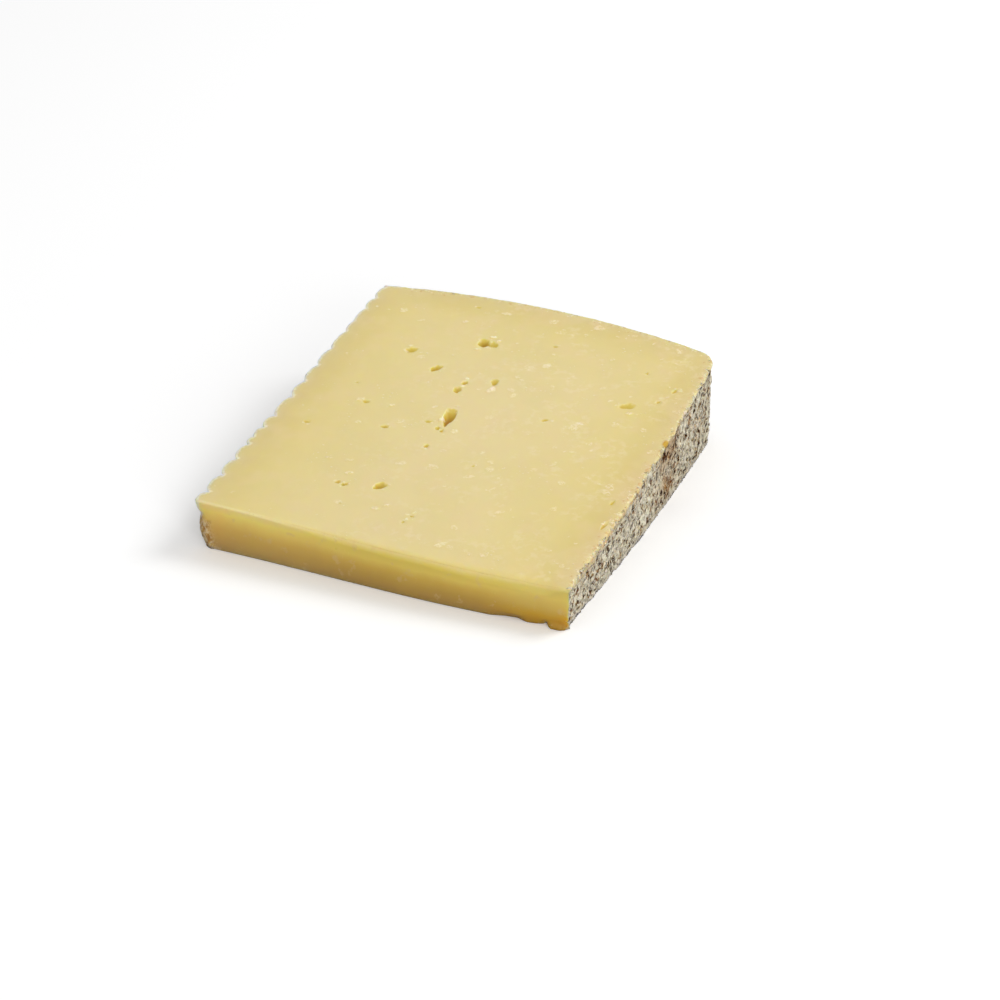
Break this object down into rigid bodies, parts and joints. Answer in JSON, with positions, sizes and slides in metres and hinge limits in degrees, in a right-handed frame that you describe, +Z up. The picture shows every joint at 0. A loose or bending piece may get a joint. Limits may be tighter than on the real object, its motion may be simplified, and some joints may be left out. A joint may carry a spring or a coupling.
{
  "type": "tomme cheese wedge",
  "caption": "Flat wedge of pressed tomme cheese lying on its cut face: pale straw paste with small eyes, grey mottled rind on one flat side, ridged mat-marked rind on the other.",
  "frame": {"origin": "centre of the footprint, on the surface that the wedge lies on", "axes": "+Z up; +Y from the square cut at the wedge's point to the wheel's rim; +X to the smooth flat face of the wheel, -X to its ridged flat face"},
  "size_m": [0.1182, 0.1362, 0.0313],
  "materials": {
    "cheese": "pale straw cheese paste, smooth and slightly moist where cut, with a dry grey-brown natural rind"
  },
  "bodies": {
    "root": {"tomme_wedge": "cheese"}
  },
  "joints": []
}
